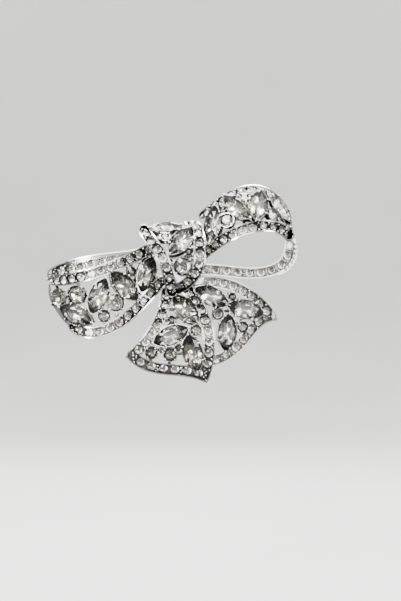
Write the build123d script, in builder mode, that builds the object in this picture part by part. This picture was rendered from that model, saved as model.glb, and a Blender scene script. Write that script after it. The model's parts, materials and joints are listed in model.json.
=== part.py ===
"""Bow brooch: open-work castings set with clear stones, on a pin bar with a safety catch.

Worn upright: +X to the wearer's left, +Z up, the face towards -Y, and the pin stem along X through the origin.
"""

from build123d import *
import math
import os

os.makedirs("parts", exist_ok=True)

# ---------------------------------------------------------------- driving dimensions, millimetres
RAIL_WIDTH = 2.9            # channel that holds a row of small stones
RAIL_DEPTH = 1.9            # from the front of a rail to its back
GROOVE_DEPTH = 0.95         # deep enough for the points of the small stones
PAVE_DIAMETER = 2.2
PAVE_GROOVE = 2.3
PAVE_PITCH = 2.65
EDGE_WIDTH = 0.8            # plain strips at the folds
OUTER_WIDTH = 1.95          # right loop's outer rail, seen from the front
OUTER_GROOVE = 1.45
OUTER_WALL = 0.45           # its wall beside the last marquise
BACK_BAND_WIDTH = 3.6       # channel of the left loop's back band
BACK_BAND_GROOVE = 2.9
MARQUISE_LENGTH = 10.0
MARQUISE_WIDTH = 5.0
GIRDLE_SET = 0.1            # girdles of the small stones below the rail tops
CROWN = 0.16                # crown height, part of the stone's width
PAVILION = 0.36             # depth below the girdle, part of the stone's width
TABLE = 0.55                # width of the table, part of the stone's width
TABLE_LENGTH = 0.68         # length of a marquise's table, part of its length
KEEL = 0.06                 # width and length of the keel under a marquise
KEEL_LENGTH = 0.4
COLLET_RIM = 0.15           # collet outside the stone's outline
COLLET_WALL = 0.75
COLLET_HEIGHT = 1.5
CLAW_RADIUS = 0.22
CLAW_GAP = 0.02             # between a claw and the stone's outline
CLAW_RISE = 0.25            # claw above the girdle
SIDE_CLAW = 2.2             # side claws of a marquise, each way from its middle
SIDE_CLAW_WIDTH = 2.1       # half-width of the marquise there
BAR_RADIUS = 0.42           # wires that join the collets
BAR_BELOW = 1.55            # axis of those wires below the surface
BACK_LIMIT = -1.6           # no casting reaches further back
REACH = 60.0                # longer than the brooch, for cutting

STEM_RADIUS = 0.4
STEM_REACH = 11.4           # hinge axis and catch, each side of the middle
BAR_FRONT = -2.9            # front face of the pin bar
BAR_BACK = -2.1
BAR_WIDTH = 2.4
BAR_HALF = 13.0
PIN_SPACE = 4.6             # height kept clear of castings behind the bar


BACK_PLANE = Plane(origin=(0, BACK_LIMIT, 0), z_dir=(0, -1, 0))


# ---------------------------------------------------------------- the surfaces that the castings follow
def frame_at(origin, normal, x, z):
    """A plane on the surface, with its x axis along the view direction (x, z) laid onto the surface."""
    normal = Vector(*normal)
    depth = -(normal.X * x + normal.Z * z) / normal.Y
    return Plane(origin=origin, x_dir=Vector(x, depth, z), z_dir=normal)


class Barrel:
    """A surface bent about one line: an arc each side of its crest, along "x" or along "z"."""

    def __init__(self, along, crest, depth, low_radius, high_radius):
        self.along = along
        self.crest = crest
        self.depth = depth
        self.low_radius = low_radius
        self.high_radius = high_radius

    def seat(self, x, z, below=0.0, turn=0.0):
        across = (x if self.along == "x" else z) - self.crest
        radius = self.high_radius if across > 0 else self.low_radius
        tilt = math.asin(across / radius)
        y = self.depth + radius * (1 - math.cos(tilt))
        if self.along == "x":
            normal = Vector(math.sin(tilt), -math.cos(tilt), 0)
        else:
            normal = Vector(0, -math.cos(tilt), math.sin(tilt))
        origin = Vector(x, y, z) - normal * below
        return frame_at(origin, normal, math.cos(math.radians(turn)), math.sin(math.radians(turn)))

    def shell(self, top, bottom):
        """Everything from top to bottom below the surface."""
        plane = Plane.XY if self.along == "x" else Plane.ZY
        with BuildPart() as bent:
            with BuildSketch(plane):
                for radius, side in ((self.high_radius, Align.MIN), (self.low_radius, Align.MAX)):
                    with BuildSketch(mode=Mode.PRIVATE) as quarter:
                        with Locations((self.crest, self.depth + radius)):
                            Circle(radius - top)
                            Circle(radius - bottom, mode=Mode.SUBTRACT)
                            Rectangle(2 * radius, radius, align=(side, Align.MAX), mode=Mode.INTERSECT)
                    add(quarter.sketch)
            extrude(amount=REACH, both=True)
        return bent.part


class Dome:
    """A round surface about one centre."""

    def __init__(self, centre, radius):
        self.centre = Vector(*centre)
        self.radius = radius

    def seat(self, x, z, below=0.0, turn=0.0):
        right = (x - self.centre.X) / self.radius
        up = (z - self.centre.Z) / self.radius
        normal = Vector(right, -math.sqrt(1 - right * right - up * up), up)
        origin = self.centre + normal * (self.radius - below)
        return frame_at(origin, normal, math.cos(math.radians(turn)), math.sin(math.radians(turn)))

    def shell(self, top, bottom):
        """Everything from top to bottom below the surface."""
        with BuildPart() as bent:
            with Locations(self.centre):
                Sphere(self.radius - top)
                Sphere(self.radius - bottom, mode=Mode.SUBTRACT)
        return bent.part


LEFT_FRONT = Barrel("x", crest=-14.5, depth=-11.5, low_radius=12.7, high_radius=31.5)
LEFT_BACK = Barrel("x", crest=-13.0, depth=BAR_FRONT - RAIL_DEPTH, low_radius=40.0, high_radius=900.0)
KNOT = Barrel("z", crest=-1.3, depth=-15.2, low_radius=10.8, high_radius=10.8)
RIGHT_FRONT = Dome((23.9, 0.7, 5.6), 14.3)
RIGHT_RETURN = Barrel("x", crest=14.0, depth=-6.4, low_radius=200.0, high_radius=200.0)
FRONT_TAIL = Barrel("z", crest=-21.2, depth=-9.5, low_radius=40.0, high_radius=19.0)
REAR_TAIL = Barrel("x", crest=12.0, depth=-4.9, low_radius=80.0, high_radius=80.0)


# ---------------------------------------------------------------- rails and their rows of small stones
def ribbon(points, width, surface, top, bottom):
    """A strip with round ends along a smooth line in the view, between two depths below a surface."""
    with BuildPart() as strip:
        with BuildSketch(Plane.XZ):
            with BuildLine():
                Spline(*points)
            trace(line_width=width)
            with Locations(points[0], points[-1]):
                Circle(width / 2)
        extrude(amount=REACH, both=True)
        add(surface.shell(top, bottom), mode=Mode.INTERSECT)
        split(bisect_by=BACK_PLANE, keep=Keep.TOP)
    return strip.part


def pave_seats(points, surface, start=0.0, end=1.0):
    """Planes at the girdles of a row of small stones, evenly spaced along the curved rail."""
    steps = 200
    line = Spline(*points)
    spots = [line.position_at(start + (end - start) * i / steps) for i in range(steps + 1)]
    origins = [surface.seat(p.X, p.Y, GIRDLE_SET).origin for p in spots]
    travelled = [0.0]
    for before, after in zip(origins, origins[1:]):
        travelled.append(travelled[-1] + (after - before).length)
    count = int(travelled[-1] / PAVE_PITCH)
    seats = []
    for k in range(count):
        wanted = travelled[-1] * (k + 0.5) / count
        i = next(i for i, far in enumerate(travelled) if far >= wanted)
        seats.append(surface.seat(spots[i].X, spots[i].Y, GIRDLE_SET))
    return seats


# ---------------------------------------------------------------- stones
def round_stone(diameter):
    """A round stone with its girdle at z = 0 and its table upwards."""
    radius = diameter / 2
    with BuildPart() as stone:
        with BuildSketch(Plane.XZ):
            Polygon(
                (0, -PAVILION * diameter),
                (radius, 0),
                (TABLE * radius, CROWN * diameter),
                (0, CROWN * diameter),
                align=None,
            )
        revolve(axis=Axis.Z)
    return stone.part


def navette(length, width, z=0.0):
    """A pointed oval of two arcs, as a face at height z."""
    with BuildSketch(Plane.XY.offset(z)) as outline:
        with BuildLine():
            ThreePointArc((-length / 2, 0), (0, width / 2), (length / 2, 0))
            ThreePointArc((length / 2, 0), (0, -width / 2), (-length / 2, 0))
        make_face()
    return outline.sketch


def marquise_stone(size=1.0):
    """A pointed oval stone with its girdle at z = 0 and its table upwards."""
    length = MARQUISE_LENGTH * size
    width = MARQUISE_WIDTH * size
    girdle = navette(length, width)
    table = navette(length * TABLE_LENGTH, width * TABLE, CROWN * width)
    keel = navette(length * KEEL_LENGTH, width * KEEL, -PAVILION * width)
    with BuildPart() as stone:
        loft([girdle.face(), table.face()], ruled=True)
        loft([keel.face(), girdle.face()], ruled=True)
    return stone.part


def claw_posts(spots):
    """Upright claws at the given (x, y) spots, just outside a stone."""
    with BuildPart() as posts:
        with BuildSketch(Plane.XY.offset(-COLLET_HEIGHT)):
            with Locations(*spots):
                Circle(CLAW_RADIUS)
        extrude(amount=COLLET_HEIGHT + CLAW_RISE)
    return posts.part


def marquise_collet(seat, size=1.0):
    """The frame under a marquise stone, with a claw at each point and two on each side."""
    length = MARQUISE_LENGTH * size
    width = MARQUISE_WIDTH * size
    outset = CLAW_RADIUS + CLAW_GAP
    tip = length / 2 + outset
    along = SIDE_CLAW * size
    side = SIDE_CLAW_WIDTH * size + outset
    with BuildPart() as collet:
        extrude(navette(length + 4 * COLLET_RIM, width + 2 * COLLET_RIM), amount=-COLLET_HEIGHT)
        inner = navette(length - 4 * COLLET_WALL, width - 2 * COLLET_WALL)
        extrude(inner, amount=-COLLET_HEIGHT, mode=Mode.SUBTRACT)
        add(claw_posts([(-tip, 0), (tip, 0)] + [(x, y) for x in (-along, along) for y in (-side, side)]))
    return seat * collet.part


def round_collet(seat, diameter):
    """The cup under a round stone, with four claws."""
    with BuildPart() as collet:
        with BuildSketch():
            Circle(diameter / 2 + COLLET_RIM)
            Circle(max(diameter / 2 - COLLET_WALL, 0.4), mode=Mode.SUBTRACT)
        extrude(amount=-COLLET_HEIGHT)
        offset_xy = (diameter / 2 + CLAW_RADIUS + CLAW_GAP) / math.sqrt(2)
        add(claw_posts([(x, y) for x in (-offset_xy, offset_xy) for y in (-offset_xy, offset_xy)]))
    return seat * collet.part


def wire(surface, start, end):
    """A wire behind the collets, from one point of the view to another."""
    a = surface.seat(*start, below=BAR_BELOW).origin
    b = surface.seat(*end, below=BAR_BELOW).origin
    with BuildPart() as rod:
        with BuildSketch(Plane(origin=a, z_dir=b - a)):
            Circle(BAR_RADIUS)
        extrude(amount=(b - a).length)
    return rod.part


def patch(corners, surface):
    """A plate of the casting's thickness over a polygon of the view."""
    with BuildPart() as plate:
        with BuildSketch(Plane.XZ):
            Polygon(*corners, align=None)
        extrude(amount=REACH, both=True)
        add(surface.shell(0, RAIL_DEPTH), mode=Mode.INTERSECT)
        split(bisect_by=BACK_PLANE, keep=Keep.TOP)
    return plate.part


def finish(part, label):
    part.label = label
    export_step(part, f"parts/{label}.step")


# ---------------------------------------------------------------- rails: the middle of each, as (x, z)
LEFT_BACK_BAND = [(-25.4, -4.4), (-23.5, -3.4), (-20.5, -2.3), (-15.5, -1.2), (-10.5, -0.5), (-5.5, 0.1), (-0.4, 1.4)]
LEFT_BACK_ROW = [(-25.0, -3.6), (-20.5, -2.8), (-15.5, -1.7), (-10.5, -0.7), (-5.5, 0.0), (-0.6, 1.2)]
LEFT_UPPER = [(-26.6, -5.7), (-23.0, -5.9), (-15.7, -4.5), (-8.3, -1.8), (0.4, 2.4)]
LEFT_LOWER = [(-19.8, -17.7), (-17.5, -19.0), (-14.7, -19.3), (-9.8, -17.8), (-3.7, -13.1), (2.6, -6.2)]
KNOT_LEFT = [(-1.9, 6.9), (-0.6, 4.9), (2.4, 0.8), (4.4, -4.6), (5.3, -8.9)]
KNOT_RIGHT = [(9.9, 9.3), (11.6, 7.2), (12.4, 1.3), (12.3, -1.5), (10.2, -5.7), (6.3, -8.3)]
RIGHT_INNER = [(12.4, 0.0), (15.6, 2.6), (20.3, 5.5), (25.5, 7.4), (30.6, 7.8), (33.6, 6.9), (35.2, 5.7)]
RETURN = [(12.0, -3.3), (18.0, -3.4), (26.0, -4.1), (31.0, -3.3), (34.3, -1.1), (35.4, 1.3), (35.6, 3.2)]
FRONT_LEFT = [(4.1, -6.6), (3.3, -12.5), (0.4, -19.2), (-4.7, -25.1)]
FRONT_BOTTOM = [(-4.9, -25.2), (-0.4, -28.0), (6.6, -29.0), (13.4, -30.5)]
FRONT_RIGHT = [(6.8, -6.7), (12.4, -12.8), (14.6, -19.7), (14.7, -25.0), (13.6, -30.1)]
REAR_UPPER = [(11.4, -6.7), (17.5, -6.5), (23.9, -8.8), (29.1, -13.0), (30.7, -14.9)]
REAR_LOWER = [(30.4, -15.2), (28.1, -16.3), (24.2, -20.7), (19.6, -25.0), (15.4, -26.7)]
OUTER_TOP = [(13.0, 10.8), (16.6, 13.8), (20.6, 16.3), (25.5, 17.8), (29.6, 17.1)]
OUTER_END = [(34.7, 9.8), (35.2, 7.8), (35.5, 5.6)]
OUTER_SIDE = [(28.4, 18.25), (30.6, 17.4), (33.2, 14.7), (34.8, 12.0), (35.8, 8.0)]
LEFT_FOLD = [(-26.6, -6.5), (-26.2, -10.2), (-24.0, -13.9), (-21.8, -16.5), (-19.6, -18.3)]
RIGHT_FOLD = [(35.6, 6.6), (36.8, 3.9), (37.1, 1.2), (36.6, -0.9), (35.2, -2.8), (32.6, -4.2)]

# ---------------------------------------------------------------- pointed corners of the tails
FRONT_TIPS = [
    [(12.9, -31.8), (14.2, -32.3), (15.05, -30.6), (13.5, -30.0)],
    [(-5.75, -24.1), (-6.7, -25.5), (-5.8, -26.3), (-4.6, -25.2)],
]
REAR_TIPS = [[(31.9, -14.2), (32.6, -16.3), (30.9, -16.45), (30.4, -15.0)]]

# ---------------------------------------------------------------- stones: (x, z, turn[, size]) and (x, z, diameter)
LEFT_MARQUISES = [(-19.3, -14.8, -25), (-13.4, -10.0, -112), (-6.8, -7.4, -47), (-1.2, -4.5, -107)]
LEFT_ROUNDS = [(-24.4, -10.5, 4.6), (-19.3, -9.7, 4.6), (-9.0, -11.7, 4.5), (-12.0, -15.1, 3.3), (-4.9, -3.8, 2.4)]
KNOT_MARQUISES = [(3.5, 7.7, 6, 0.8), (7.6, 4.1, 52)]
KNOT_ROUNDS = [(3.5, 5.1, 2.4), (9.6, 1.3, 2.3), (8.1, -2.6, 4.6)]
RIGHT_MARQUISES = [(15.5, 8.3, -98), (21.9, 12.8, -43), (27.4, 13.3, -101), (32.9, 13.2, -54)]
RIGHT_ROUNDS = [(17.8, 12.1, 2.2), (19.2, 9.3, 3.6), (23.8, 15.3, 2.4), (31.2, 10.9, 3.4)]
FRONT_MARQUISES = [(8.8, -13.3, -49), (5.0, -20.1, 23), (10.6, -24.6, -76)]
FRONT_ROUNDS = [
    (5.2, -16.1, 2.2),
    (11.4, -18.8, 3.0),
    (0.0, -24.5, 3.1),
    (2.45, -23.8, 1.5),
    (4.85, -25.0, 3.4),
    (6.9, -23.2, 1.8),
]
REAR_MARQUISES = [(15.4, -10.1, -26), (24.1, -13.4, -13), (19.45, -19.35, -96)]
REAR_ROUNDS = [(20.7, -10.2, 2.2), (17.0, -14.6, 3.2), (23.5, -18.0, 3.0)]

# ---------------------------------------------------------------- wires that join the collets to the rails
LEFT_WIRES = [
    [(-26.0, -7.5), (-24.4, -10.5), (-19.3, -9.7), (-13.4, -10.0), (-9.1, -11.6), (-6.8, -7.4), (-4.9, -3.8)],
    [(-19.3, -5.3), (-19.3, -9.7), (-19.3, -14.8), (-17.5, -19.0)],
    [(-24.4, -10.5), (-23.5, -14.6)],
    [(-13.4, -10.0), (-12.0, -15.1), (-11.6, -18.6)],
    [(-9.1, -11.6), (-8.1, -16.8)],
    [(-6.8, -7.4), (-1.2, -4.5), (-0.6, -10.0)],
    [(-4.9, -3.8), (-4.5, -0.1)],
]
KNOT_WIRES = [
    [(-0.3, 5.4), (3.5, 5.1), (7.6, 4.1), (12.3, 4.0)],
    [(3.5, 5.1), (3.5, 7.7), (11.0, 8.3)],
    [(7.6, 4.1), (9.6, 1.3), (12.4, 1.3)],
    [(3.6, -2.0), (8.1, -2.6), (12.2, -2.0)],
]
RIGHT_WIRES = [
    [(15.7, 2.4), (15.2, 8.2), (13.2, 11.2)],
    [(15.2, 8.2), (19.3, 9.2), (20.4, 5.3)],
    [(19.3, 9.2), (17.8, 12.0), (16.0, 14.8)],
    [(17.8, 12.0), (22.1, 12.8), (24.4, 7.0)],
    [(22.1, 12.8), (23.9, 15.6), (23.9, 17.8)],
    [(22.1, 12.8), (27.5, 13.3), (28.2, 17.0)],
    [(27.5, 13.3), (27.5, 7.8)],
    [(27.5, 13.3), (31.2, 10.5), (32.9, 12.8), (34.0, 14.0)],
    [(31.2, 10.5), (31.9, 7.4)],
]
FRONT_WIRES = [
    [(3.3, -12.5), (8.8, -13.3), (12.4, -12.8)],
    [(8.8, -13.3), (5.2, -16.1), (5.0, -20.1), (0.6, -19.0)],
    [(5.2, -16.1), (2.3, -15.6)],
    [(5.0, -20.1), (11.4, -18.8), (14.4, -19.0)],
    [(11.4, -18.8), (10.6, -24.6), (14.7, -24.6)],
    [(5.0, -20.1), (6.8, -23.3), (4.7, -25.1), (4.5, -29.0)],
    [(5.0, -20.1), (2.4, -23.9), (4.7, -25.1), (10.6, -24.6), (10.1, -29.6)],
    [(2.4, -23.9), (0.0, -24.6), (-0.4, -28.0)],
]
REAR_WIRES = [
    [(14.5, -6.4), (15.5, -9.7), (17.0, -14.1), (19.5, -19.7), (19.3, -25.2)],
    [(15.5, -9.7), (20.6, -10.2), (21.0, -7.4)],
    [(20.6, -10.2), (23.4, -13.3), (28.9, -12.9)],
    [(17.0, -14.1), (23.4, -13.3), (23.2, -17.9), (25.7, -19.0)],
    [(19.5, -19.7), (23.2, -17.9)],
]


# ---------------------------------------------------------------- pin bar and centre frame, behind everything
with BuildPart() as pin_bar:
    with BuildSketch(Plane(origin=(0, BAR_FRONT, 0), x_dir=(1, 0, 0), z_dir=(0, 1, 0))):
        SlotOverall(2 * BAR_HALF, BAR_WIDTH)
    extrude(amount=BAR_BACK - BAR_FRONT)

FRAME_LEFT = -0.6
FRAME_RIGHT = 13.4
FRAME_TOP = 8.0
FRAME_BOTTOM = -7.0
FRAME_BAND = 2.2
FRAME_CORNER = 1.5
WINDOW_WIDTH = 4.2          # four windows, one in each corner
WINDOW_HEIGHT = 4.6
WINDOW_CORNER = 0.8
with BuildPart() as centre_frame:
    width = FRAME_RIGHT - FRAME_LEFT
    height = FRAME_TOP - FRAME_BOTTOM
    with BuildSketch(Plane(origin=(0, BAR_FRONT, 0), x_dir=(1, 0, 0), z_dir=(0, -1, 0))):
        with Locations(((FRAME_LEFT + FRAME_RIGHT) / 2, (FRAME_TOP + FRAME_BOTTOM) / 2)):
            RectangleRounded(width, height, FRAME_CORNER)
            with GridLocations((width - FRAME_BAND) / 2, (height - FRAME_BAND) / 2, 2, 2):
                RectangleRounded(WINDOW_WIDTH, WINDOW_HEIGHT, WINDOW_CORNER, mode=Mode.SUBTRACT)
    extrude(amount=RAIL_DEPTH)
with BuildPart() as pin_space:
    with Locations((0, BAR_FRONT, 0)):
        Box(2 * BAR_HALF + 1.4, -2 * BAR_FRONT, PIN_SPACE, align=(Align.CENTER, Align.MIN, Align.CENTER))
BACK = [pin_space.part, centre_frame.part]


def casting(surface, rails, wires, marquises, rounds, plain=(), tips=()):
    """Rails, collets and wires of one open-work ribbon, before its grooves and seats are cut."""
    pieces = [ribbon(points, width, surface, 0, RAIL_DEPTH) for points, width in rails]
    pieces += [ribbon(points, EDGE_WIDTH, surface, 0, RAIL_DEPTH) for points in plain]
    pieces += [patch(corners, surface) for corners in tips]
    pieces += [marquise_collet(surface.seat(x, z, turn=turn), *size) for x, z, turn, *size in marquises]
    pieces += [round_collet(surface.seat(x, z), diameter) for x, z, diameter in rounds]
    pieces += [wire(surface, a, b) for path in wires for a, b in zip(path, path[1:])]
    return pieces


def stones(surface, marquises, rounds):
    """The stones of one ribbon, on their seats."""
    found = [surface.seat(x, z, turn=turn) * marquise_stone(*size) for x, z, turn, *size in marquises]
    return found + [surface.seat(x, z) * round_stone(diameter) for x, z, diameter in rounds]


def row_of_stones(seats):
    return [seat * PAVE for seat in seats]


def largest(part):
    """The casting without the crumbs that cutting the seats leaves."""
    return Part([part.solids().sort_by(SortBy.VOLUME)[-1]])


PAVE = round_stone(PAVE_DIAMETER)
ROWS = {
    "left_back_pave": row_of_stones(pave_seats(LEFT_BACK_ROW, LEFT_BACK)),
    "left_upper_pave": row_of_stones(pave_seats(LEFT_UPPER, LEFT_FRONT)),
    "left_lower_pave": row_of_stones(pave_seats(LEFT_LOWER, LEFT_FRONT)),
    "knot_left_pave": row_of_stones(pave_seats(KNOT_LEFT, KNOT)),
    "knot_right_pave": row_of_stones(pave_seats(KNOT_RIGHT, KNOT, end=0.9)),
    "right_outer_pave": row_of_stones(
        pave_seats(OUTER_TOP, RIGHT_FRONT) + pave_seats(OUTER_END, RIGHT_FRONT)
    ),
    "right_inner_pave": row_of_stones(pave_seats(RIGHT_INNER, RIGHT_FRONT, end=0.96)),
    "right_return_pave": row_of_stones(pave_seats(RETURN, RIGHT_RETURN, end=0.95)),
    "front_tail_left_pave": row_of_stones(pave_seats(FRONT_LEFT, FRONT_TAIL, start=0.1, end=0.98)),
    "front_tail_bottom_pave": row_of_stones(pave_seats(FRONT_BOTTOM, FRONT_TAIL, start=0.06)),
    "front_tail_right_pave": row_of_stones(pave_seats(FRONT_RIGHT, FRONT_TAIL, start=0.1, end=0.95)),
    "rear_tail_upper_pave": row_of_stones(pave_seats(REAR_UPPER, REAR_TAIL, start=0.13)),
    "rear_tail_lower_pave": row_of_stones(pave_seats(REAR_LOWER, REAR_TAIL, start=0.08)),
}
SET_STONES = {
    "left_loop": (stones(LEFT_FRONT, LEFT_MARQUISES, []), stones(LEFT_FRONT, [], LEFT_ROUNDS)),
    "knot": (stones(KNOT, KNOT_MARQUISES, []), stones(KNOT, [], KNOT_ROUNDS)),
    "right_loop": (stones(RIGHT_FRONT, RIGHT_MARQUISES, []), stones(RIGHT_FRONT, [], RIGHT_ROUNDS)),
    "front_tail": (stones(FRONT_TAIL, FRONT_MARQUISES, []), stones(FRONT_TAIL, [], FRONT_ROUNDS)),
    "rear_tail": (stones(REAR_TAIL, REAR_MARQUISES, []), stones(REAR_TAIL, [], REAR_ROUNDS)),
}


def grooves(surface, lines, width=PAVE_GROOVE):
    return [ribbon(points, width, surface, -1.0, GROOVE_DEPTH) for points in lines]


def set_stones(group):
    """Every stone that a casting holds in a collet."""
    marquises, rounds = SET_STONES[group]
    return marquises + rounds


# ---------------------------------------------------------------- left loop
body = casting(
    LEFT_FRONT,
    [(LEFT_UPPER, RAIL_WIDTH), (LEFT_LOWER, RAIL_WIDTH)],
    LEFT_WIRES,
    LEFT_MARQUISES,
    LEFT_ROUNDS,
    [LEFT_FOLD],
)
cuts = grooves(LEFT_FRONT, [LEFT_UPPER, LEFT_LOWER])
with BuildPart() as left_loop_front:
    add(body)
    add(cuts, mode=Mode.SUBTRACT)
    add(set_stones("left_loop"), mode=Mode.SUBTRACT)
    add(BACK, mode=Mode.SUBTRACT)
finish(largest(left_loop_front.part), "left_loop_front")

body = ribbon(LEFT_BACK_BAND, BACK_BAND_WIDTH, LEFT_BACK, 0, RAIL_DEPTH)
cuts = grooves(LEFT_BACK, [LEFT_BACK_BAND], BACK_BAND_GROOVE)
with BuildPart() as left_loop_back:
    add(body)
    add(cuts + ROWS["left_back_pave"], mode=Mode.SUBTRACT)
    add(BACK + [left_loop_front.part], mode=Mode.SUBTRACT)
finish(largest(left_loop_back.part), "left_loop_back")

# ---------------------------------------------------------------- knot
body = casting(
    KNOT, [(KNOT_LEFT, RAIL_WIDTH), (KNOT_RIGHT, RAIL_WIDTH)], KNOT_WIRES, KNOT_MARQUISES, KNOT_ROUNDS
)
cuts = grooves(KNOT, [KNOT_LEFT, KNOT_RIGHT])
KNOT_LUGS = [(0.2, 4.8, 1.2, 2.0, -11.5), (10.9, 6.9, 1.4, 1.4, -9.0), (5.2, -6.2, 1.8, 1.2, -12.0)]
with BuildPart() as knot_band:
    add(body)
    for x, z, wide, high, front in KNOT_LUGS:
        with Locations((x, front, z)):
            Box(wide, BAR_FRONT - front, high, align=(Align.CENTER, Align.MIN, Align.CENTER))
    add(cuts, mode=Mode.SUBTRACT)
    add(set_stones("knot"), mode=Mode.SUBTRACT)
    add(BACK + [left_loop_front.part] + ROWS["front_tail_left_pave"], mode=Mode.SUBTRACT)
finish(largest(knot_band.part), "knot_band")

# ---------------------------------------------------------------- right loop
body = casting(
    RIGHT_FRONT,
    [(RIGHT_INNER, RAIL_WIDTH), (OUTER_TOP, OUTER_WIDTH), (OUTER_END, OUTER_WIDTH), (OUTER_SIDE, OUTER_WALL)],
    RIGHT_WIRES,
    RIGHT_MARQUISES,
    RIGHT_ROUNDS,
)
cuts = grooves(RIGHT_FRONT, [RIGHT_INNER]) + grooves(RIGHT_FRONT, [OUTER_TOP, OUTER_END], OUTER_GROOVE)
with BuildPart() as right_loop_front:
    add(body)
    add(cuts, mode=Mode.SUBTRACT)
    add(set_stones("right_loop") + ROWS["right_outer_pave"], mode=Mode.SUBTRACT)
    add(BACK + [knot_band.part], mode=Mode.SUBTRACT)
finish(largest(right_loop_front.part), "right_loop_front")

body = [
    ribbon(RETURN, RAIL_WIDTH, RIGHT_RETURN, 0, RAIL_DEPTH),
    ribbon(RIGHT_FOLD, EDGE_WIDTH, RIGHT_RETURN, 0, RAIL_DEPTH),
]
cuts = grooves(RIGHT_RETURN, [RETURN])
with BuildPart() as right_loop_return:
    add(body)
    add(cuts, mode=Mode.SUBTRACT)
    add(BACK + [right_loop_front.part], mode=Mode.SUBTRACT)
finish(largest(right_loop_return.part), "right_loop_return")

# ---------------------------------------------------------------- tails
body = casting(
    FRONT_TAIL,
    [(FRONT_LEFT, RAIL_WIDTH), (FRONT_BOTTOM, RAIL_WIDTH), (FRONT_RIGHT, RAIL_WIDTH)],
    FRONT_WIRES,
    FRONT_MARQUISES,
    FRONT_ROUNDS,
    tips=FRONT_TIPS,
)
cuts = grooves(FRONT_TAIL, [FRONT_LEFT, FRONT_BOTTOM, FRONT_RIGHT])
with BuildPart() as front_tail:
    add(body)
    add(cuts, mode=Mode.SUBTRACT)
    add(set_stones("front_tail"), mode=Mode.SUBTRACT)
    add(BACK + [knot_band.part] + set_stones("rear_tail"), mode=Mode.SUBTRACT)
finish(largest(front_tail.part), "front_tail")

body = casting(
    REAR_TAIL,
    [(REAR_UPPER, RAIL_WIDTH), (REAR_LOWER, RAIL_WIDTH)],
    REAR_WIRES,
    REAR_MARQUISES,
    REAR_ROUNDS,
    tips=REAR_TIPS,
)
cuts = grooves(REAR_TAIL, [REAR_UPPER, REAR_LOWER])
with BuildPart() as rear_tail:
    add(body)
    add(cuts, mode=Mode.SUBTRACT)
    add(set_stones("rear_tail"), mode=Mode.SUBTRACT)
    add(BACK + [front_tail.part, right_loop_return.part, knot_band.part], mode=Mode.SUBTRACT)
finish(largest(rear_tail.part), "rear_tail")

# ---------------------------------------------------------------- stones, one node for each marquise
for group, (marquises, rounds) in SET_STONES.items():
    for number, stone in enumerate(marquises, start=1):
        with BuildPart() as marquise:
            add(stone)
        finish(marquise.part, f"{group}_marquise_{number}")
    with BuildPart() as round_stones:
        add(rounds)
    finish(round_stones.part, f"{group}_round_stones")
for label, row in ROWS.items():
    with BuildPart() as pave_row:
        add(row)
    finish(pave_row.part, label)

finish(pin_bar.part, "pin_bar")
finish(centre_frame.part, "centre_frame")

# ---------------------------------------------------------------- pin hinge, at the -X end of the bar
RIVET_RADIUS = 0.45
HINGE_CLEARANCE = 0.03
KNUCKLE_RADIUS = 0.95
KNUCKLE_HALF = 0.5
CHEEK = 0.5
CHEEK_GAP = 0.04            # knuckle to cheek, each side
BRACKET_RADIUS = 1.05
BRACKET_FLOOR = 0.6         # bracket's thickness on the bar, under the knuckle
RIVET_HEAD = 0.7
RIVET_HEAD_HEIGHT = 0.25
hinge_axis = Plane(origin=(-STEM_REACH, 0, 0), z_dir=(0, 0, 1))
cheek_from = KNUCKLE_HALF + CHEEK_GAP
with BuildPart() as hinge_bracket:
    with BuildSketch(hinge_axis.offset(-cheek_from - CHEEK)):
        Circle(BRACKET_RADIUS)
        with Locations((0, BAR_BACK / 2)):
            Rectangle(2 * BRACKET_RADIUS, -BAR_BACK)
        Circle(RIVET_RADIUS, mode=Mode.SUBTRACT)
    extrude(amount=2 * (cheek_from + CHEEK))
    with BuildSketch(hinge_axis.offset(-cheek_from)):
        Rectangle(3 * BRACKET_RADIUS, 2 * (-BAR_BACK - BRACKET_FLOOR))
    extrude(amount=2 * cheek_from, mode=Mode.SUBTRACT)

with BuildPart() as hinge_rivet:
    with BuildSketch(hinge_axis.offset(-cheek_from - CHEEK)):
        Circle(RIVET_RADIUS)
    extrude(amount=2 * (cheek_from + CHEEK))
    for end in (-1, 1):
        plane = hinge_axis.offset(end * (cheek_from + CHEEK))
        with BuildSketch(plane):
            Circle(RIVET_HEAD)
        extrude(amount=end * RIVET_HEAD_HEIGHT)

STEM_HALF = 10.1            # half of its straight wire
STEM_ROOT = 0.47            # radius where it leaves the knuckle
STEM_TIP = 13.6
STEM_POINT = 0.06           # radius of its blunt point
with BuildPart() as pin_stem:
    with BuildSketch(hinge_axis.offset(-KNUCKLE_HALF)):
        Circle(KNUCKLE_RADIUS)
    extrude(amount=2 * KNUCKLE_HALF)
    with BuildSketch(Plane.XY):
        Polygon(
            (-STEM_REACH, 0),
            (STEM_TIP, 0),
            (STEM_TIP, STEM_POINT),
            (STEM_HALF, STEM_RADIUS),
            (-STEM_HALF, STEM_RADIUS),
            (-STEM_REACH, STEM_ROOT),
            align=None,
        )
    revolve(axis=Axis.X)
    with BuildSketch(hinge_axis.offset(-KNUCKLE_HALF)):
        Circle(RIVET_RADIUS + HINGE_CLEARANCE)
    extrude(amount=2 * KNUCKLE_HALF, mode=Mode.SUBTRACT)

# ---------------------------------------------------------------- catch: a housing and a ring that rolls shut
HOUSING_RADIUS = 1.6
ROLLER_RADIUS = 1.2
ROLLER_BORE = 0.62
ROLLER_CLEARANCE = 0.04
ROLLER_HALF = 0.45
CHEEK_WALL = 0.4
HOUSING_OPEN = 75           # degrees each side of the way out for the stem
ROLLER_OPEN = 42
LUG_ANGLE = -56
LUG_HALF = 8
LUG_REACH = 2.3


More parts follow.
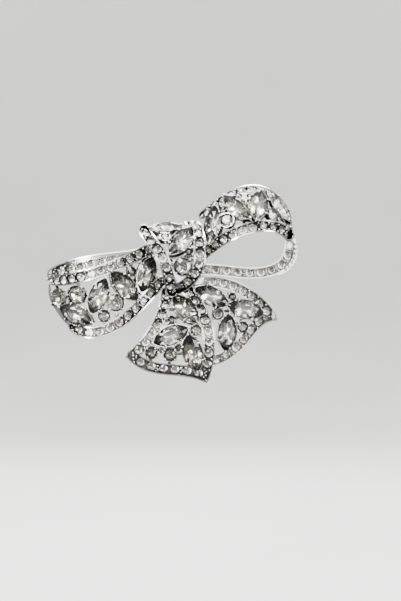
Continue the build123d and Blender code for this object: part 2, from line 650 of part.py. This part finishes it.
def sector(radius, from_angle, to_angle, mode=Mode.ADD):
    """A wedge in the sketch plane, between two angles under a straight angle apart."""
    angles = (from_angle, (from_angle + to_angle) / 2, to_angle)
    corners = [(radius * math.cos(math.radians(a)), radius * math.sin(math.radians(a))) for a in angles]
    return Polygon((0, 0), *corners, align=None, mode=mode)


catch_plane = Plane(origin=(STEM_REACH, 0, 0), x_dir=(0, 1, 0), z_dir=(1, 0, 0))
outer_half = ROLLER_HALF + ROLLER_CLEARANCE + CHEEK_WALL
with BuildPart() as catch_base:
    with BuildSketch(catch_plane.offset(-outer_half)):
        Circle(HOUSING_RADIUS)
        with Locations((BAR_BACK / 2, 0)):
            Rectangle(-BAR_BACK, 2 * HOUSING_RADIUS)
    extrude(amount=2 * outer_half)
    with BuildSketch(catch_plane.offset(-outer_half)):
        sector(3 * HOUSING_RADIUS, -HOUSING_OPEN, HOUSING_OPEN)
        Circle(ROLLER_BORE)
    extrude(amount=2 * outer_half, mode=Mode.SUBTRACT)
    with BuildSketch(catch_plane.offset(-ROLLER_HALF - ROLLER_CLEARANCE)):
        Circle(ROLLER_RADIUS + ROLLER_CLEARANCE)
    extrude(amount=2 * (ROLLER_HALF + ROLLER_CLEARANCE), mode=Mode.SUBTRACT)

with BuildPart() as catch_roller:
    with BuildSketch(catch_plane.offset(-ROLLER_HALF)):
        Circle(ROLLER_RADIUS)
        sector(LUG_REACH, LUG_ANGLE - LUG_HALF, LUG_ANGLE + LUG_HALF)
        Circle(ROLLER_BORE, mode=Mode.SUBTRACT)
        sector(3 * HOUSING_RADIUS, -ROLLER_OPEN, ROLLER_OPEN, mode=Mode.SUBTRACT)
    extrude(amount=2 * ROLLER_HALF)

finish(hinge_bracket.part, "hinge_bracket")
finish(hinge_rivet.part, "hinge_rivet")
finish(pin_stem.part, "pin_stem")
finish(catch_base.part, "catch_base")
finish(catch_roller.part, "catch_roller")
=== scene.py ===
"""Bow brooch in rhodium-plated metal and clear foil-backed stones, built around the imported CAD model."""

import json
import math
import random

import bmesh
import bpy
from mathutils import Matrix, Vector
from mathutils.bvhtree import BVHTree


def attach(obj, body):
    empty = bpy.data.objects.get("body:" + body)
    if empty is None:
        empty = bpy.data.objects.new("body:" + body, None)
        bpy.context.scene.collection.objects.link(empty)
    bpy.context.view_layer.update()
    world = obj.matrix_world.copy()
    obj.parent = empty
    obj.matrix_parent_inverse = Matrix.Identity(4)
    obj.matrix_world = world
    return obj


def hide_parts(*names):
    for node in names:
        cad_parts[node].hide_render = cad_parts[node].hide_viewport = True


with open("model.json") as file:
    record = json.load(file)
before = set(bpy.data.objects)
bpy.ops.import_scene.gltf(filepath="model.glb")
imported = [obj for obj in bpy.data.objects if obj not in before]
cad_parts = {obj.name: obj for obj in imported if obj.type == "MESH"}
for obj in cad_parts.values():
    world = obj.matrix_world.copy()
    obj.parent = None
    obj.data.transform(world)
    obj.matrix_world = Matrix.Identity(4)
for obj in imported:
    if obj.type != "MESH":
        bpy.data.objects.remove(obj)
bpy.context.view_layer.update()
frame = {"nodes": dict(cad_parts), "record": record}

MM = 0.001
SLOTS = {entry["node"]: entry["material_slot"] for entry in frame["record"]["subparts"]}

# ---------------------------------------------------------------- driving values
CAMERA_LENS = 120.0         # millimetres
CAMERA_SENSOR = 36.0
FRAME_HEIGHT = 153.9 * MM   # what the camera sees from top to bottom at the brooch
VIEW_CENTRE = Vector((12.54 * MM, -8.0 * MM, -11.14 * MM))
LIT_POINT = Vector((5.0 * MM, 0.0, -5.0 * MM))
FLOOR_LEVEL = -0.11
FLOOR_FLAT = 0.9            # radius of its flat part
FLOOR_CURVE = 0.5           # radius of the bend up into the wall
WALL_TOP = 1.3
FLOOR_TURNS = 96

MAINS = 8                   # main facets round a stone
CROWN = 0.16                # crown height of every stone, part of its width
PAVILION = 0.36             # its depth below the girdle
GIRDLE = 0.012              # half-thickness of the girdle
TABLE = 0.55                # width of its table
STONE_TILT = 3              # degrees, how unevenly the round stones sit
ROUND_RINGS = {"table": TABLE, "star": 0.78, "girdle": 1.0, "main": 0.3, "keel": 0.03}
MARQUISE_RINGS = {          # parts of the length and of the width
    "table": (0.62, TABLE),
    "star": (0.85, 0.8),
    "girdle": (1.0, 1.0),
    "keel": (0.4, 0.03),
}
MARQUISE_STAR = 0.62        # height of a marquise's star corners, part of the crown's height

CLAW_RADIUS = 0.23 * MM
CLAW_TIP = 0.13 * MM
CLAW_GAP = 0.24 * MM        # claw's axis outside the stone's edge
CLAW_FOOT = 0.3 * MM        # its foot below the girdle
CLAW_RISE = 0.25 * MM       # its shoulder above the girdle
CLAW_HOOK = 0.1 * MM        # its tip above its shoulder
MARQUISE_BEND = 0.5 * MM    # how far a claw reaches in over a stone
ROUND_BEND = 0.36 * MM
SIDE_CLAW = 0.22            # side claws from the middle, part of a marquise's length
SIDE_CLAW_OUT = 0.42        # and from its long axis, part of its width
BEZEL_WIRE = 0.1 * MM       # radius of the polished edge round a marquise
BEZEL_LONGER = 0.4 * MM     # that edge's length and width over the stone's
BEZEL_WIDER = 0.24 * MM
BEZEL_DEPTH = 0.12 * MM     # below the girdle
BEZEL_STEPS = 48

BEAD_RADIUS = 0.28 * MM     # beads that hold the small stones
FOOT_SHARE = 0.9            # radius at the foot of a bead or claw, part of the radius at its top
BEAD_STALK = 0.8 * MM
BEAD_SIDE = 0.4             # beads beside the row's middle, part of the stone's width
ROW_GAP = 1.35              # widest step between neighbours of a row, part of the stone's width
END_STALK = 0.6 * MM
END_BEADS = ((0.66, 0.27), (0.66, -0.27), (0.86, 0.0))    # past a row's last stone, in stone widths
END_ABOVE = 1.0 * MM        # where the search for the groove's floor starts, above the girdle
END_SEARCH = 2.4 * MM       # and how far down it goes
CLUSTER_BEAD = 0.36 * MM
CLUSTER_HALF = 0.1 * MM     # half the height of such a bead's waist
CLUSTERS = [                # (x, z) in millimetres, of beads that stand on the castings
    (36.9, 3.4), (37.1, 2.2), (36.95, 1.0), (36.6, -0.2), (36.1, -1.3), (35.4, -2.3), (34.5, -3.1),
    (7.8, 10.0), (8.7, 9.6), (9.5, 9.9), (10.3, 9.4), (10.9, 9.8), (8.4, 8.9), (9.3, 9.0),
]
IN_FRONT = -50.0 * MM       # y of a plane in front of the whole brooch
CAP_ANGLES = (75, 45, 15)   # degrees, rings of a finger's round end
FINGER_SIDES = 10
WIRE_SIDES = 8

SOFT_EDGE = 0.07 * MM       # worn edges of the castings
PAINTED_SHADE_REACH = 1.2 * MM      # how near a wall must be for painted shade to darken the metal's colour
GRAIN = 2500.0              # noise scales, per metre
POLISH = 1500.0
FOIL_POLISH = 900.0
FOIL_PATCHES = 400.0
STONE_PATCHES = 220.0
FLOOR_PATCHES = 6.0


# ---------------------------------------------------------------- camera, floor and lights
def make_camera():
    camera = bpy.data.objects.new("camera", bpy.data.cameras.new("camera"))
    camera.data.lens = CAMERA_LENS
    camera.data.sensor_width = CAMERA_SENSOR
    camera.data.clip_start = 0.01
    camera.data.clip_end = 20.0
    distance = FRAME_HEIGHT * CAMERA_LENS / CAMERA_SENSOR
    camera.location = VIEW_CENTRE + Vector((0, -distance, 0))
    camera.rotation_euler = (math.radians(90), 0, 0)
    bpy.context.collection.objects.link(camera)
    bpy.context.scene.camera = camera


def make_light(name, location, size, energy):
    """A soft panel that faces the brooch and that no camera sees."""
    data = bpy.data.lights.new(name, "AREA")
    data.shape = "RECTANGLE"
    data.size, data.size_y = size
    data.energy = energy
    light = bpy.data.objects.new(name, data)
    light.location = location
    light.rotation_mode = "QUATERNION"
    light.rotation_quaternion = (LIT_POINT - Vector(location)).to_track_quat("-Z", "Y")
    light.visible_camera = False
    bpy.context.collection.objects.link(light)


def make_floor(material):
    """A round floor that turns up into a wall all the way round, out of every camera's way."""
    profile = [(0.02, FLOOR_LEVEL), (FLOOR_FLAT / 2, FLOOR_LEVEL), (FLOOR_FLAT, FLOOR_LEVEL)]
    for step in range(1, 9):
        angle = math.radians(90 * step / 8)
        out = FLOOR_FLAT + FLOOR_CURVE * math.sin(angle)
        profile.append((out, FLOOR_LEVEL + FLOOR_CURVE * (1 - math.cos(angle))))
    profile.append((FLOOR_FLAT + FLOOR_CURVE, WALL_TOP))
    mesh = bmesh.new()
    east, north = Vector((1, 0, 0)), Vector((0, 1, 0))
    rings = []
    for radius, height in profile:
        rings.append(ring_of(mesh, Vector((0, 0, height)), east, north, radius, FLOOR_TURNS))
    mesh.faces.new(rings[0])
    for low, high in zip(rings, rings[1:]):
        bridge(mesh, low, high)
    floor = to_object("floor", mesh, [material], smooth=True)
    floor.visible_glossy = False
    floor.visible_transmission = False


def make_world():
    """Dim grey surroundings, brighter overhead."""
    world = bpy.data.worlds.new("studio")
    world.use_nodes = True
    nodes, links = world.node_tree.nodes, world.node_tree.links
    where = nodes.new("ShaderNodeTexCoord")
    split = nodes.new("ShaderNodeSeparateXYZ")
    ramp = nodes.new("ShaderNodeValToRGB")
    spread = nodes.new("ShaderNodeMapRange")
    spread.inputs["From Min"].default_value = -1.0
    ramp.color_ramp.elements[0].color = (0.17, 0.17, 0.17, 1)
    ramp.color_ramp.elements[1].color = (0.7, 0.7, 0.69, 1)
    middle = ramp.color_ramp.elements.new(0.5)
    middle.color = (0.32, 0.32, 0.32, 1)
    links.new(where.outputs["Generated"], split.inputs[0])
    links.new(split.outputs["Z"], spread.inputs["Value"])
    links.new(spread.outputs[0], ramp.inputs[0])
    links.new(ramp.outputs[0], nodes["Background"].inputs["Color"])
    bpy.context.scene.world = world


def make_lights():
    make_light("key", (-0.35, -0.5, 0.55), (0.3, 0.3), 9.0)
    make_light("fill", (0.6, -0.45, 0.1), (0.25, 0.5), 4.0)
    make_light("top", (0.1, -0.05, 0.7), (0.5, 0.2), 6.0)
    make_light("low", (-0.2, -0.6, -0.05), (0.1, 0.1), 1.2)
    make_light("front", (0.05, -1.25, 0.2), (0.9, 0.5), 4.0)
    make_light("back", (0.0, 0.7, 0.6), (0.5, 0.4), 9.0)


# ---------------------------------------------------------------- materials
def new_material(name, **values):
    """A Principled material with the given values on the shader's own sockets."""
    material = bpy.data.materials.new(name)
    material.use_nodes = True
    shader = material.node_tree.nodes["Principled BSDF"]
    for socket, value in values.items():
        shader.inputs[socket.replace("_", " ")].default_value = value
    return material, material.node_tree.nodes, material.node_tree.links, shader


def noise_range(nodes, links, scale, low, high, detail=3.0):
    """Fine procedural noise over the object, as a value between low and high."""
    where = nodes.new("ShaderNodeTexCoord")
    noise = nodes.new("ShaderNodeTexNoise")
    noise.inputs["Scale"].default_value = scale
    noise.inputs["Detail"].default_value = detail
    spread = nodes.new("ShaderNodeMapRange")
    spread.inputs["From Min"].default_value = 0.3
    spread.inputs["From Max"].default_value = 0.7
    spread.inputs["To Min"].default_value = low
    spread.inputs["To Max"].default_value = high
    links.new(where.outputs["Object"], noise.inputs["Vector"])
    links.new(noise.outputs["Fac"], spread.inputs["Value"])
    return spread.outputs[0]


def worn_surface(nodes, links, shader):
    """Fine grain over the metal, and edges that catch the light as if slightly rounded."""
    edge = nodes.new("ShaderNodeBevel")
    edge.samples = 4
    edge.inputs["Radius"].default_value = SOFT_EDGE
    bump = nodes.new("ShaderNodeBump")
    bump.inputs["Strength"].default_value = 0.25
    bump.inputs["Distance"].default_value = 0.02 * MM
    links.new(edge.outputs[0], bump.inputs["Normal"])
    links.new(noise_range(nodes, links, GRAIN, 0.0, 1.0), bump.inputs["Height"])
    links.new(bump.outputs[0], shader.inputs["Normal"])


def patchy_colour(nodes, links, shader, scale, first, second):
    """A colour that drifts between two tones over the surface."""
    mix = nodes.new("ShaderNodeMix")
    mix.data_type = "RGBA"
    mix.inputs["A"].default_value = (*first, 1)
    mix.inputs["B"].default_value = (*second, 1)
    links.new(noise_range(nodes, links, scale, 0.0, 1.0, detail=1.0), mix.inputs["Factor"])
    links.new(mix.outputs["Result"], shader.inputs["Base Color"])


def plated_metal(name, bright, shade_colour, rough):
    """Plated casting: its own bright colour in the open, its colour darkened towards a painted shade
    colour down in its recesses, where less light reaches.
    """
    material, nodes, links, shader = new_material(name, Metallic=1.0)
    # Painted shade: ambient occlusion darkens the base colour in recesses and between the stones.
    hidden = nodes.new("ShaderNodeAmbientOcclusion")
    hidden.inputs["Distance"].default_value = PAINTED_SHADE_REACH
    hidden.samples = 8
    ramp = nodes.new("ShaderNodeValToRGB")
    ramp.color_ramp.elements[0].position = 0.5
    ramp.color_ramp.elements[0].color = (*shade_colour, 1)
    ramp.color_ramp.elements[1].position = 0.92
    ramp.color_ramp.elements[1].color = (*bright, 1)
    links.new(hidden.outputs["AO"], ramp.inputs[0])
    links.new(ramp.outputs[0], shader.inputs["Base Color"])
    links.new(noise_range(nodes, links, POLISH, *rough), shader.inputs["Roughness"])
    worn_surface(nodes, links, shader)
    return material


def crystal(name, tint, warm):
    """Clear cut crystal, with a slightly warm cast that comes and goes from stone to stone."""
    material, nodes, links, shader = new_material(name, Transmission_Weight=1.0, IOR=1.56, Roughness=0.0)
    patchy_colour(nodes, links, shader, STONE_PATCHES, tint, warm)
    return material


def foil(name):
    """The silvered back of a stone."""
    material, nodes, links, shader = new_material(name, Metallic=1.0)
    patchy_colour(nodes, links, shader, FOIL_PATCHES, (0.97, 0.97, 0.95), (0.84, 0.82, 0.78))
    links.new(noise_range(nodes, links, FOIL_POLISH, 0.05, 0.14), shader.inputs["Roughness"])
    return material


def matt_floor():
    material, nodes, links, shader = new_material("pale_floor", Roughness=0.8)
    ramp = nodes.new("ShaderNodeValToRGB")
    ramp.color_ramp.elements[0].color = (0.7, 0.7, 0.69, 1)
    ramp.color_ramp.elements[1].color = (0.76, 0.76, 0.75, 1)
    links.new(noise_range(nodes, links, FLOOR_PATCHES, 0.0, 1.0), ramp.inputs[0])
    links.new(ramp.outputs[0], shader.inputs["Base Color"])
    return material


# ---------------------------------------------------------------- meshes
def to_object(name, mesh, materials, smooth=False):
    data = bpy.data.meshes.new(name)
    mesh.normal_update()
    mesh.to_mesh(data)
    mesh.free()
    for material in materials:
        data.materials.append(material)
    for face in data.polygons:
        face.use_smooth = smooth
    made = bpy.data.objects.new(name, data)
    bpy.context.collection.objects.link(made)
    return made


def merged_groups(data):
    """The separate solids of a CAD mesh, each as a list of its faces."""
    index = {}
    where = []
    for vertex in data.vertices:
        key = tuple(round(c, 7) for c in vertex.co)
        where.append(index.setdefault(key, len(index)))
    parent = list(range(len(index)))

    def root(i):
        while parent[i] != i:
            parent[i] = parent[parent[i]]
            i = parent[i]
        return i

    for face in data.polygons:
        first = root(where[face.vertices[0]])
        for v in face.vertices[1:]:
            parent[root(where[v])] = first
    groups = {}
    for face in data.polygons:
        groups.setdefault(root(where[face.vertices[0]]), []).append(face)
    return list(groups.values())


class Seat:
    """Where a stone sits, read from its CAD solid: its girdle's middle, directions and size."""

    def __init__(self, data, faces):
        areas = {}
        for face in faces:
            key = tuple(round(c, 2) for c in face.normal)
            areas.setdefault(key, []).append(face)
        table = max(areas.values(), key=lambda group: sum(face.area for face in group))
        area = sum(face.area for face in table)
        centre = sum((face.center * face.area for face in table), Vector()) / area
        self.normal = sum((face.normal * face.area for face in table), Vector()).normalized()
        points = [data.vertices[v].co for face in faces for v in face.vertices]
        height = -min((p - centre).dot(self.normal) for p in points)
        self.width = height / (CROWN + PAVILION)
        self.centre = centre - self.normal * CROWN * self.width
        spokes = [p - self.centre - self.normal * (p - self.centre).dot(self.normal) for p in points]
        far = max(spokes, key=lambda spoke: spoke.length)
        self.length = 2 * far.length
        self.along = far.normalized()
        self.across = self.normal.cross(self.along)

    def matrix(self, turn=0.0, tilt=0.0):
        place = Matrix((self.along, self.across, self.normal)).transposed().to_4x4()
        place.translation = self.centre
        return place @ Matrix.Rotation(turn, 4, "Z") @ Matrix.Rotation(tilt, 4, "X")

    def at(self, x, y, z):
        return self.centre + self.along * x + self.across * y + self.normal * z


def seats_of(node):
    data = frame["nodes"][node].data
    return [Seat(data, faces) for faces in merged_groups(data)]


def cut_stone(mesh, matrix, outline, heights, mains_cut=True):
    """A brilliant cut: outline(part, share) is a point of the table, star, girdle, main or keel ring.

    Without the mains cut, the back has one large facet behind each side of the stone."""
    top, star_height, girdle, low, depth = heights

    def ring(part, height, count=MAINS, shift=0.0):
        shares = [(k + shift) / count for k in range(count)]
        return [mesh.verts.new(matrix @ Vector((*outline(part, share), height))) for share in shares]

    tables = ring("table", top)
    stars = ring("star", star_height, shift=0.5)
    upper = ring("girdle", girdle, count=2 * MAINS)
    lower = ring("girdle", -girdle, count=2 * MAINS)
    mains = ring("main", low, shift=0.5) if mains_cut else []
    keel = ring("keel", depth)
    crown = [tables]
    back = []
    for k in range(MAINS):
        after = (k + 1) % MAINS
        side, half, end = 2 * k, 2 * k + 1, (2 * k + 2) % (2 * MAINS)
        crown.append((tables[k], stars[k], tables[after]))
        crown.append((tables[k], upper[side], stars[k]))
        crown.append((tables[k], stars[k - 1], upper[side]))
        crown.append((stars[k], upper[side], upper[half]))
        crown.append((stars[k], upper[half], upper[end]))
        crown.append((upper[side], lower[side], lower[half], upper[half]))
        crown.append((upper[half], lower[half], lower[end], upper[end]))
        if not mains_cut:
            back.append((keel[k], keel[after], lower[end], lower[half]))
            back.append((keel[k], lower[half], lower[side]))
            continue
        back.append((mains[k], lower[half], lower[side]))
        back.append((mains[k], lower[end], lower[half]))
        back.append((keel[k], mains[k], lower[side]))
        back.append((keel[k], lower[side], mains[k - 1]))
        back.append((keel[k], keel[after], mains[k]))
    back.append(list(reversed(keel)))
    for faces, slot in ((crown, 0), (back, 1)):
        for corners in faces:
            face = mesh.faces.new(corners)
            face.material_index = slot


def round_cut(mesh, seat, dice):
    """A round brilliant, turned and tilted a little at random."""
    half_step = math.cos(math.pi / MAINS)

    def outline(part, share):
        angle = 2 * math.pi * share
        reach = ROUND_RINGS[part] * seat.width / 2
        return reach * math.cos(angle), reach * math.sin(angle)

    top = CROWN * seat.width
    depth = -PAVILION * seat.width
    star_height = top * (1 - (ROUND_RINGS["star"] * half_step - TABLE) / (1 - TABLE))
    low = depth * (1 - ROUND_RINGS["main"] * half_step)
    matrix = seat.matrix(dice.uniform(0, math.pi), math.radians(dice.uniform(-STONE_TILT, STONE_TILT)))
    cut_stone(mesh, matrix, outline, (top, star_height, GIRDLE * seat.width, low, depth))


def navette_point(length, width, share):
    """A point of the pointed oval, by the share of the way round it from its +x tip."""
    radius = (length * length + width * width) / (4 * width)
    reach = math.asin(length / 2 / radius)
    side = 1 if share % 1.0 < 0.5 else -1
    turn = reach * (1 - 4 * (share % 0.5)) * side
    x = radius * math.sin(turn)
    y = radius * math.cos(turn) - (radius - width / 2)
    return x, side * y


def marquise_cut(mesh, seat):
    """A pointed oval stone with a keel behind."""

    def outline(part, share):
        length, width = MARQUISE_RINGS[part]
        return navette_point(length * seat.length, width * seat.width, share)

    top = CROWN * seat.width
    depth = -PAVILION * seat.width
    heights = (top, top * MARQUISE_STAR, GIRDLE * seat.width, depth, depth)
    cut_stone(mesh, seat.matrix(), outline, heights, mains_cut=False)


def ring_of(mesh, centre, first, second, radius, sides):
    """A ring of points round a centre, in the plane of two directions."""
    angles = [2 * math.pi * k / sides for k in range(sides)]
    spokes = [first * math.cos(angle) + second * math.sin(angle) for angle in angles]
    return [mesh.verts.new(centre + spoke * radius) for spoke in spokes]


def bridge(mesh, low, high):
    """The band of faces between two rings."""
    for k in range(len(low)):
        after = (k + 1) % len(low)
        mesh.faces.new((low[k], low[after], high[after], high[k]))


def capsule(mesh, start, end, start_radius, end_radius):
    """A round-ended finger from start to end, as one closed form."""
    axis = (end - start).normalized()
    first = axis.orthogonal().normalized()
    second = axis.cross(first)
    rings = []
    for angle in CAP_ANGLES:
        a = math.radians(angle)
        centre = start - axis * start_radius * math.sin(a)
        rings.append(ring_of(mesh, centre, first, second, start_radius * math.cos(a), FINGER_SIDES))
    for angle in reversed(CAP_ANGLES):
        a = math.radians(angle)
        centre = end + axis * end_radius * math.sin(a)
        rings.append(ring_of(mesh, centre, first, second, end_radius * math.cos(a), FINGER_SIDES))
    for low, high in zip(rings, rings[1:]):
        bridge(mesh, low, high)
    mesh.faces.new(list(reversed(rings[0])))
    mesh.faces.new(rings[-1])


def wire_loop(mesh, points, radius):
    """A round wire through points, back to the first of them."""
    rings = []
    for i, point in enumerate(points):
        axis = (points[(i + 1) % len(points)] - points[i - 1]).normalized()
        first = axis.cross(Vector((0, -1, 0))).normalized()
        rings.append(ring_of(mesh, point, first, axis.cross(first), radius, WIRE_SIDES))
    for i, ring in enumerate(rings):
        bridge(mesh, rings[i - 1], ring)


# ---------------------------------------------------------------- stones and what holds them
def make_stones(node, materials, dice):
    """The faceted stones that stand for one CAD node."""
    mesh = bmesh.new()
    found = seats_of(node)
    for seat in found:
        if "marquise" in node:
            marquise_cut(mesh, seat)
        else:
            round_cut(mesh, seat, dice)
    made = to_object(f"{node}_cut", mesh, materials)
    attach(made, "brooch")
    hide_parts(node)
    return found


def casting_surface():
    """All the castings as one surface that rays can be cast at."""
    points = []
    faces = []
    for node, slot in SLOTS.items():
        if slot == "rhodium":
            data = frame["nodes"][node].data
            faces += [[len(points) + v for v in face.vertices] for face in data.polygons]
            points += [vertex.co for vertex in data.vertices]
    return BVHTree.FromPolygons(points, faces)


def claw(mesh, seat, x, y, inward):
    """A claw beside a stone, bent over its edge towards the stone's middle."""
    foot = seat.at(x, y, -CLAW_FOOT)
    shoulder = seat.at(x, y, CLAW_RISE)
    tip = seat.at(x - inward[0], y - inward[1], CLAW_RISE + CLAW_HOOK)
    capsule(mesh, foot, shoulder, CLAW_RADIUS * FOOT_SHARE, CLAW_RADIUS)
    capsule(mesh, shoulder, tip, CLAW_RADIUS, CLAW_TIP)


def marquise_setting(mesh, seat):
    """Claws at the points and along the sides of a marquise, and the polished edge round it."""
    end = seat.length / 2 + CLAW_GAP
    for way in (-1, 1):
        claw(mesh, seat, way * end, 0, (way * MARQUISE_BEND, 0))
    side = SIDE_CLAW_OUT * seat.width + CLAW_GAP
    for x in (-SIDE_CLAW * seat.length, SIDE_CLAW * seat.length):
        for way in (-1, 1):
            claw(mesh, seat, x, way * side, (0, way * MARQUISE_BEND))
    length = seat.length + BEZEL_LONGER
    width = seat.width + BEZEL_WIDER
    edge = [navette_point(length, width, k / BEZEL_STEPS) for k in range(BEZEL_STEPS)]
    wire_loop(mesh, [seat.at(x, y, -BEZEL_DEPTH) for x, y in edge], BEZEL_WIRE)


def round_setting(mesh, seat):
    """Four claws round a stone, placed alike on every stone as seen from the front."""
    reach = seat.width / 2 + CLAW_GAP
    level = Vector((1, 0, 0)) - seat.normal * seat.normal.x
    seat.along = level.normalized()
    seat.across = seat.normal.cross(seat.along)
    for k in range(4):
        angle = math.radians(45 + 90 * k)
        side, up = math.cos(angle), math.sin(angle)
        claw(mesh, seat, reach * side, reach * up, (ROUND_BEND * side, ROUND_BEND * up))


def bead_row(mesh, found):
    """Beads in the gaps each side of every two neighbouring stones of a row."""
    for i, seat in enumerate(found):
        for other in found[i + 1:]:
            gap = other.centre - seat.centre
            if gap.length > ROW_GAP * seat.width:
                continue
            normal = (seat.normal + other.normal).normalized()
            side = normal.cross(gap).normalized()
            middle = (seat.centre + other.centre) / 2
            for way in (-1, 1):
                spot = middle + side * way * BEAD_SIDE * seat.width
                capsule(mesh, spot - normal * BEAD_STALK, spot, BEAD_RADIUS * FOOT_SHARE, BEAD_RADIUS)


def end_beads(mesh, found, casting):
    """Three beads that fill the groove before the first stone of a row and after the last."""
    for seat in found:
        steps = [other.centre - seat.centre for other in found if other is not seat]
        steps = sorted(steps, key=lambda step: step.length)[:2]
        if len(steps) == 2 and steps[0].dot(steps[1]) < 0 and steps[1].length < ROW_GAP * seat.width:
            continue
        out = -steps[0].normalized()
        side = seat.normal.cross(out)
        for along, across in END_BEADS:
            spot = seat.centre + (out * along + side * across) * seat.width
            foot, *_ = casting.ray_cast(spot + seat.normal * END_ABOVE, -seat.normal, END_SEARCH)
            if foot is not None:
                top = foot + seat.normal * END_STALK
                capsule(mesh, foot, top, BEAD_RADIUS * FOOT_SHARE, BEAD_RADIUS)


def bead_clusters(mesh, casting):
    """The loose beads on the fold of the right loop and on top of the knot."""
    half = Vector((0, CLUSTER_HALF, 0))
    for x, z in CLUSTERS:
        place, *_ = casting.ray_cast(Vector((x * MM, IN_FRONT, z * MM)), Vector((0, 1, 0)))
        if place is not None:
            capsule(mesh, place + half, place - half, CLUSTER_BEAD, CLUSTER_BEAD)


def set_stones(rhodium):
    """Every stone, and one piece of claws, beads and polished edges that holds them."""
    stone_materials = [crystal("crystal", (0.97, 0.97, 0.95), (0.93, 0.9, 0.84)), foil("foil")]
    dice = random.Random(7)
    metal = bmesh.new()
    castings = casting_surface()
    for node in sorted(frame["nodes"]):
        if SLOTS[node] != "crystal":
            continue
        found = make_stones(node, stone_materials, dice)
        if node.endswith("_pave"):
            bead_row(metal, found)
            end_beads(metal, found, castings)
            continue
        for seat in found:
            if "_marquise_" in node:
                marquise_setting(metal, seat)
            else:
                round_setting(metal, seat)
    bead_clusters(metal, castings)
    settings = to_object("claws_and_beads", metal, [rhodium], smooth=True)
    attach(settings, "brooch")


def dress_castings(finishes):
    """The finish of each CAD node; the stones' own nodes are replaced and only need one."""
    for node, item in frame["nodes"].items():
        item.data.materials.clear()
        item.data.materials.append(finishes.get(SLOTS[node], finishes["rhodium"]))
        for face in item.data.polygons:
            face.material_index = 0


def main():
    make_camera()
    make_world()
    make_floor(matt_floor())
    make_lights()
    finishes = {
        # Each finish: its own colour, the painted shade colour of its recesses, and its roughness range.
        "rhodium": plated_metal("rhodium_plate", (0.84, 0.84, 0.82), (0.2, 0.195, 0.18), (0.1, 0.24)),
        "findings": plated_metal("findings_plate", (0.72, 0.72, 0.7), (0.1, 0.1, 0.095), (0.2, 0.36)),
        "pin_steel": plated_metal("pin_steel", (0.66, 0.67, 0.68), (0.2, 0.2, 0.2), (0.12, 0.22)),
    }
    set_stones(finishes["rhodium"])
    dress_castings(finishes)
    bpy.context.scene.view_settings.view_transform = "AgX"
    bpy.context.scene.view_settings.look = "AgX - Medium High Contrast"


main()

bpy.context.view_layer.update()
